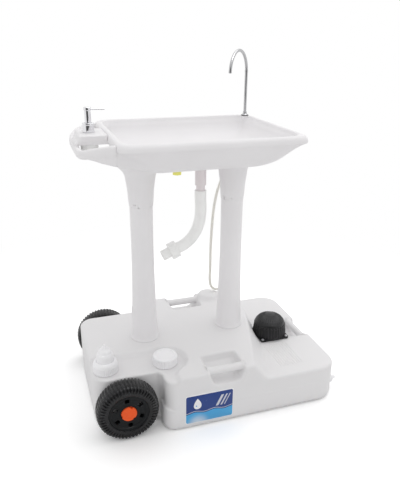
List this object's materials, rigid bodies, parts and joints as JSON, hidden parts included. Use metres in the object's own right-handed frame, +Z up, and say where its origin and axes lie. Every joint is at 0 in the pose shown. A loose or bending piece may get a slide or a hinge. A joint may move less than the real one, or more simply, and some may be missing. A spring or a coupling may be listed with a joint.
{
  "type": "camp wash stand",
  "caption": "Wheeled wash stand: low water tank with caps, hand holds and foot pump, plug-in columns, and a basin with towel rail, soap pump, gooseneck spout and waste hose.",
  "frame": {"origin": "on the tank's flat underside, below the middle of the upper deck", "axes": "+X along the tank away from the wheels, +Y to the back, +Z up"},
  "size_m": [0.6585, 0.4224, 0.874],
  "materials": {
    "hdpe": "satin, faint grain",
    "white_plastic": "satin",
    "pvc_grey": "smooth",
    "hose": "smooth",
    "tyre": "semi-gloss",
    "hub": "smooth",
    "orange": "smooth",
    "steel": "bright",
    "rubber": "matt",
    "chrome": "polished",
    "label": "printed film",
    "yellow": "smooth"
  },
  "bodies": {
    "tank": {"tank_body": "hdpe", "front_handle_bar": "hdpe", "back_handle_bar": "hdpe", "end_handle_bar": "hdpe", "tank_label": "label", "axle": "steel", "axle_push_nuts": "steel", "wheel_washers": "steel", "pump_gasket": "rubber", "pump_base": "hub", "pump_screws": "steel", "pump_valve_box": "pvc_grey", "pump_valve_balls": "steel", "pump_suction_tube": "white_plastic", "pump_strainer": "white_plastic", "pump_delivery_tube": "white_plastic", "pump_bellows": "rubber", "pump_spring": "steel", "hose_elbow": "white_plastic"},
    "front_wheel": {"front_tyre": "tyre", "front_hub": "hub", "front_hub_cap": "orange"},
    "back_wheel": {"back_tyre": "tyre", "back_hub": "hub", "back_hub_cap": "orange"},
    "fill_seal": {"fill_cap_gasket": "rubber"},
    "fill_cap": {"fill_cap": "white_plastic"},
    "spout": {"spout_nozzle": "white_plastic", "spout_gasket": "rubber"},
    "spout_ring": {"spout_ring": "white_plastic"},
    "spout_tip": {"spout_tip_cap": "white_plastic"},
    "drain_seal": {"drain_plug_gasket": "rubber"},
    "drain_plug": {"drain_plug": "white_plastic"},
    "tread": {"pump_tread": "rubber"},
    "columns": {"left_column": "hdpe", "right_column": "hdpe"},
    "basin": {"basin_bowl": "hdpe", "basin_base": "hdpe", "towel_rail": "hdpe", "soap_collar": "chrome", "soap_bottle": "white_plastic", "soap_barrel": "white_plastic", "soap_spring": "steel", "faucet_flange": "chrome", "faucet_seal": "rubber", "faucet_nut": "chrome", "faucet_tail": "chrome", "drain_strainer": "chrome", "drain_washer": "rubber", "drain_nut": "hdpe", "drain_tailpiece": "pvc_grey", "drain_hose": "hose", "hose_end_nut": "white_plastic", "hose_end_tail": "white_plastic", "supply_hose": "hose", "yellow_plug": "yellow"},
    "soap_plunger": {"soap_stem": "chrome"},
    "soap_nozzle": {"soap_head": "chrome"},
    "faucet": {"faucet_spout": "chrome", "faucet_nozzle": "rubber"}
  },
  "joints": [
    {"name": "front_wheel_spin", "type": "hinge", "parent": "tank", "child": "front_wheel", "pos_m": [-0.242, -0.18, 0.075], "axis": [0, 1, 0], "continuous": true},
    {"name": "back_wheel_spin", "type": "hinge", "parent": "tank", "child": "back_wheel", "pos_m": [-0.242, 0.18, 0.075], "axis": [0, 1, 0], "continuous": true},
    {"name": "fill_cap_lift", "type": "slide", "parent": "tank", "child": "fill_seal", "axis": [0, 0, 1], "range_m": [0, 0.008]},
    {"name": "fill_cap_turn", "type": "hinge", "parent": "fill_seal", "child": "fill_cap", "pos_m": [-0.131, -0.117, 0.15], "axis": [0, 0, 1], "range_deg": [0, 720]},
    {"name": "spout_lift", "type": "slide", "parent": "tank", "child": "spout", "axis": [0, 0, 1], "range_m": [0, 0.008]},
    {"name": "spout_ring_turn", "type": "hinge", "parent": "spout", "child": "spout_ring", "pos_m": [-0.278, -0.105, 0.15], "axis": [0, 0, 1], "range_deg": [0, 720]},
    {"name": "spout_tip_pull", "type": "slide", "parent": "spout", "child": "spout_tip", "axis": [0, 0, 1], "range_m": [0, 0.012]},
    {"name": "drain_plug_out", "type": "slide", "parent": "tank", "child": "drain_seal", "axis": [1, 0, 0], "range_m": [0, 0.008]},
    {"name": "drain_plug_turn", "type": "hinge", "parent": "drain_seal", "child": "drain_plug", "pos_m": [0.32, -0.157, 0.026], "axis": [1, 0, 0], "range_deg": [0, 720]},
    {"name": "tread_press", "type": "slide", "parent": "tank", "child": "tread", "axis": [0, 0, -1], "range_m": [0, 0.028], "stiffness_N_per_m": 800, "springref_m": -0.01, "deforming": ["pump_bellows", "pump_spring"]},
    {"name": "columns_lift", "type": "slide", "parent": "tank", "child": "columns", "axis": [0, 0, 1], "range_m": [0, 0.05]},
    {"name": "basin_lift", "type": "slide", "parent": "columns", "child": "basin", "axis": [0, 0, 1], "range_m": [0, 0.08]},
    {"name": "soap_press", "type": "slide", "parent": "basin", "child": "soap_plunger", "axis": [0, 0, -1], "range_m": [0, 0.012], "stiffness_N_per_m": 300, "springref_m": -0.006, "deforming": ["soap_spring"]},
    {"name": "soap_nozzle_turn", "type": "hinge", "parent": "soap_plunger", "child": "soap_nozzle", "pos_m": [-0.268, 0.009, 0.75], "axis": [0, 0, 1], "continuous": true},
    {"name": "faucet_swivel", "type": "hinge", "parent": "basin", "child": "faucet", "pos_m": [0.179, 0.166, 0.75], "axis": [0, 0, 1], "range_deg": [-90, 90]}
  ],
  "couplings": [
    {"joint": "fill_cap_turn", "follows": "fill_cap_lift", "rad_per_m": 1570.8},
    {"joint": "spout_ring_turn", "follows": "spout_lift", "rad_per_m": 1570.8},
    {"joint": "drain_plug_turn", "follows": "drain_plug_out", "rad_per_m": 1570.8}
  ]
}
